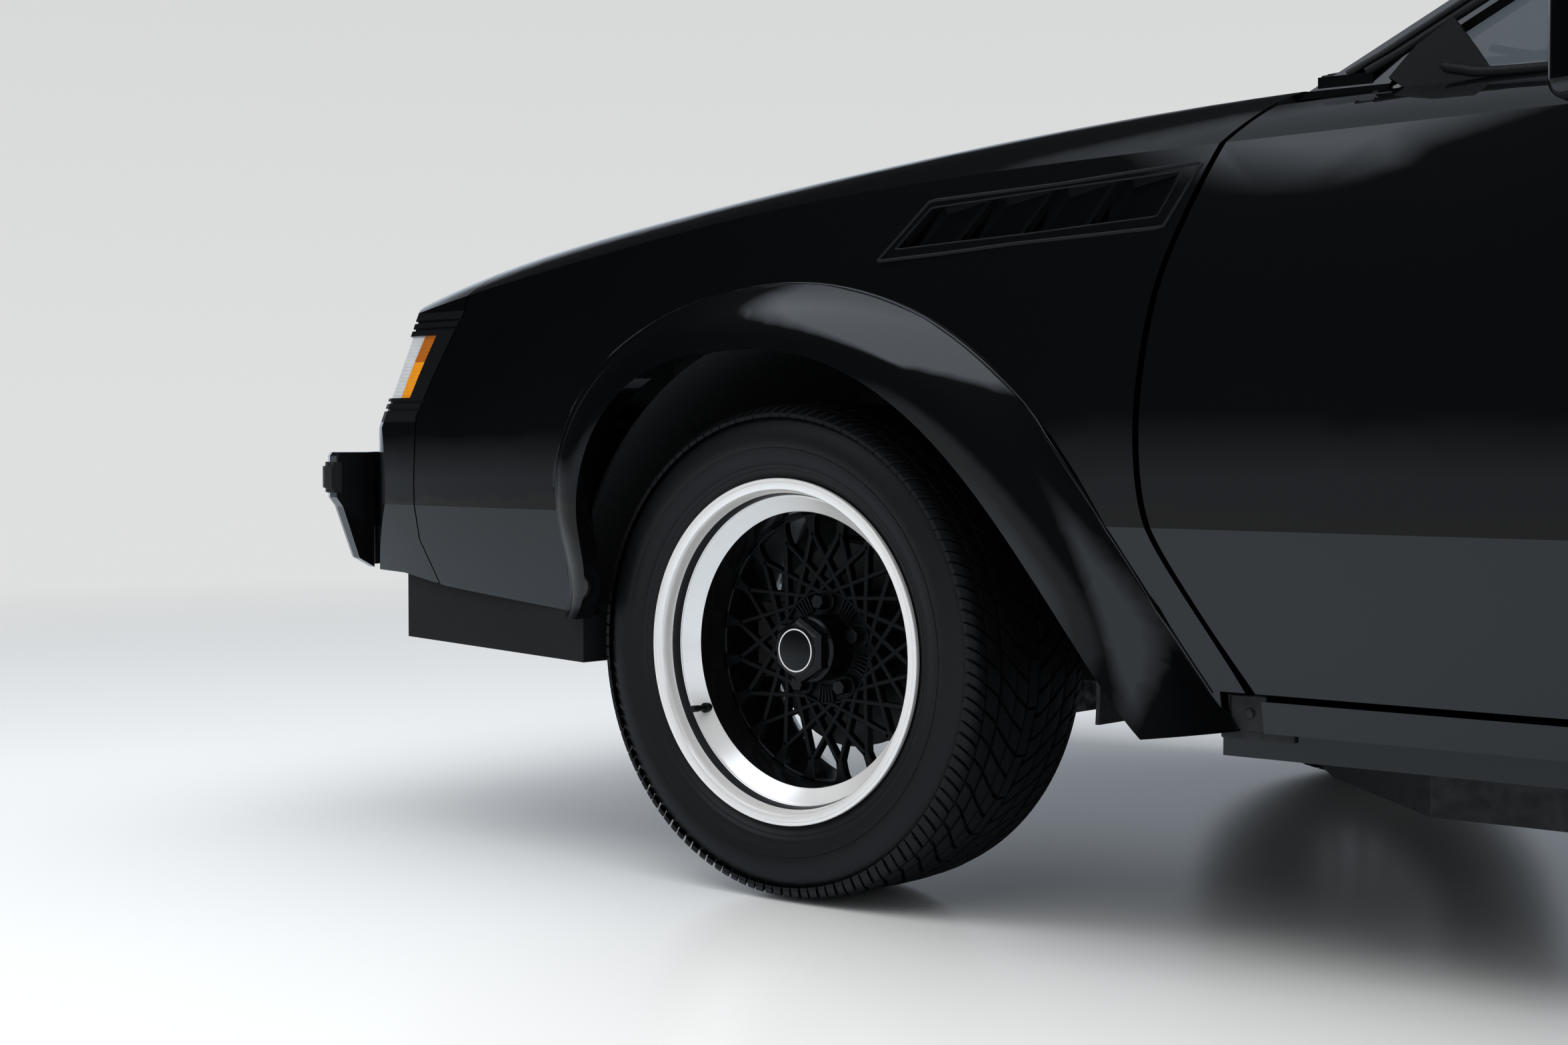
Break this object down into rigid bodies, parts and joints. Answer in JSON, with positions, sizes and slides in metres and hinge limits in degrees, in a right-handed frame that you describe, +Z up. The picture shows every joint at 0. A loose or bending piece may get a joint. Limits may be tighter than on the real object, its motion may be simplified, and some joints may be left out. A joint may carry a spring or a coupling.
{
  "type": "muscle car",
  "caption": "Two-door rear-drive muscle coupe with flared arches, mesh wheels, opening doors, hood and trunk lid, steered front wheels and a furnished cabin.",
  "frame": {"origin": "on the ground, at the middle of the length and width", "axes": "+Z up, the car's front towards -Y, the car's left side towards +X"},
  "size_m": [2.0458, 5.095, 1.39],
  "materials": {
    "paint": "gloss black paint",
    "trim_black": "satin black plastic",
    "bumper_rubber": "matte black rub strip",
    "chassis": "satin black chassis paint",
    "floor": "satin dark grey underbody coating",
    "glass": "clear tinted",
    "lamp_clear": "clear ribbed lens",
    "lamp_amber": "amber ribbed lens",
    "lamp_red": "red ribbed lens",
    "wheel": "polished lip, black mesh centre",
    "tyre": "matte",
    "iron": "bare machined and cast iron",
    "exhaust": "dull",
    "engine": "painted casting",
    "radiator": "satin black finned",
    "interior_plastic": "grained dark grey",
    "seat_cloth": "dark grey cloth"
  },
  "bodies": {
    "car_body": {"fender_left": "paint", "fender_right": "paint", "nose_panel": "paint", "headlamps": "lamp_clear", "marker_lamps": "lamp_amber", "lamp_bezels": "trim_black", "grille": "trim_black", "bumper_front": "paint", "bumper_rear": "paint", "bumper_strips": "bumper_rubber", "air_dam": "trim_black", "roof": "paint", "windscreen": "glass", "rear_window": "glass", "quarter_windows": "glass", "quarter_left": "paint", "quarter_right": "paint", "rockers": "paint", "cowl": "paint", "tail_panel": "paint", "tail_lamps": "lamp_red", "chassis_frame": "chassis", "wheel_wells": "chassis", "floor_pan": "floor", "front_suspension": "chassis", "engine_block": "engine", "radiator": "radiator", "driveline": "iron", "rear_axle": "iron", "exhaust": "exhaust", "fuel_tank": "floor", "dashboard": "interior_plastic", "steering_wheel": "interior_plastic", "front_seats": "seat_cloth", "rear_seat": "seat_cloth"},
    "door_left": {"door_left": "paint", "door_glass_left": "glass"},
    "door_right": {"door_right": "paint", "door_glass_right": "glass"},
    "hood": {"hood": "paint"},
    "trunk_lid": {"trunk_lid": "paint"},
    "steering_left": {"knuckle_left": "iron"},
    "steering_right": {"knuckle_right": "iron"},
    "wheel_front_left": {"rim_front_left": "wheel", "tyre_front_left": "tyre"},
    "wheel_front_right": {"rim_front_right": "wheel", "tyre_front_right": "tyre"},
    "wheel_rear_left": {"rim_rear_left": "wheel", "tyre_rear_left": "tyre"},
    "wheel_rear_right": {"rim_rear_right": "wheel", "tyre_rear_right": "tyre"}
  },
  "joints": [
    {"name": "door_left_hinge", "type": "hinge", "parent": "car_body", "child": "door_left", "pos_m": [0.894, -0.8715, 0.5], "axis": [0, 0, -1], "range_deg": [0, 62]},
    {"name": "door_right_hinge", "type": "hinge", "parent": "car_body", "child": "door_right", "pos_m": [-0.894, -0.8715, 0.5], "axis": [0, 0, 1], "range_deg": [0, 62]},
    {"name": "hood_hinge", "type": "hinge", "parent": "car_body", "child": "hood", "pos_m": [0, -0.9735, 0.942], "axis": [-1, 0, 0], "range_deg": [0, 50]},
    {"name": "trunk_lid_hinge", "type": "hinge", "parent": "car_body", "child": "trunk_lid", "pos_m": [0, 1.3315, 0.947], "axis": [1, 0, 0], "range_deg": [0, 55]},
    {"name": "steer_left", "type": "hinge", "parent": "car_body", "child": "steering_left", "pos_m": [0.69, -1.4935, 0.318], "axis": [0, 0, 1], "range_deg": [-32, 32]},
    {"name": "steer_right", "type": "hinge", "parent": "car_body", "child": "steering_right", "pos_m": [-0.69, -1.4935, 0.318], "axis": [0, 0, 1], "range_deg": [-32, 32]},
    {"name": "wheel_front_left_spin", "type": "hinge", "parent": "steering_left", "child": "wheel_front_left", "pos_m": [0.743, -1.4935, 0.318], "axis": [1, 0, 0], "continuous": true},
    {"name": "wheel_front_right_spin", "type": "hinge", "parent": "steering_right", "child": "wheel_front_right", "pos_m": [-0.743, -1.4935, 0.318], "axis": [1, 0, 0], "continuous": true},
    {"name": "wheel_rear_left_spin", "type": "hinge", "parent": "car_body", "child": "wheel_rear_left", "pos_m": [0.733, 1.2525, 0.318], "axis": [1, 0, 0], "continuous": true},
    {"name": "wheel_rear_right_spin", "type": "hinge", "parent": "car_body", "child": "wheel_rear_right", "pos_m": [-0.733, 1.2525, 0.318], "axis": [1, 0, 0], "continuous": true}
  ],
  "couplings": [
    {"joint": "steer_right", "follows": "steer_left", "ratio": 1}
  ]
}
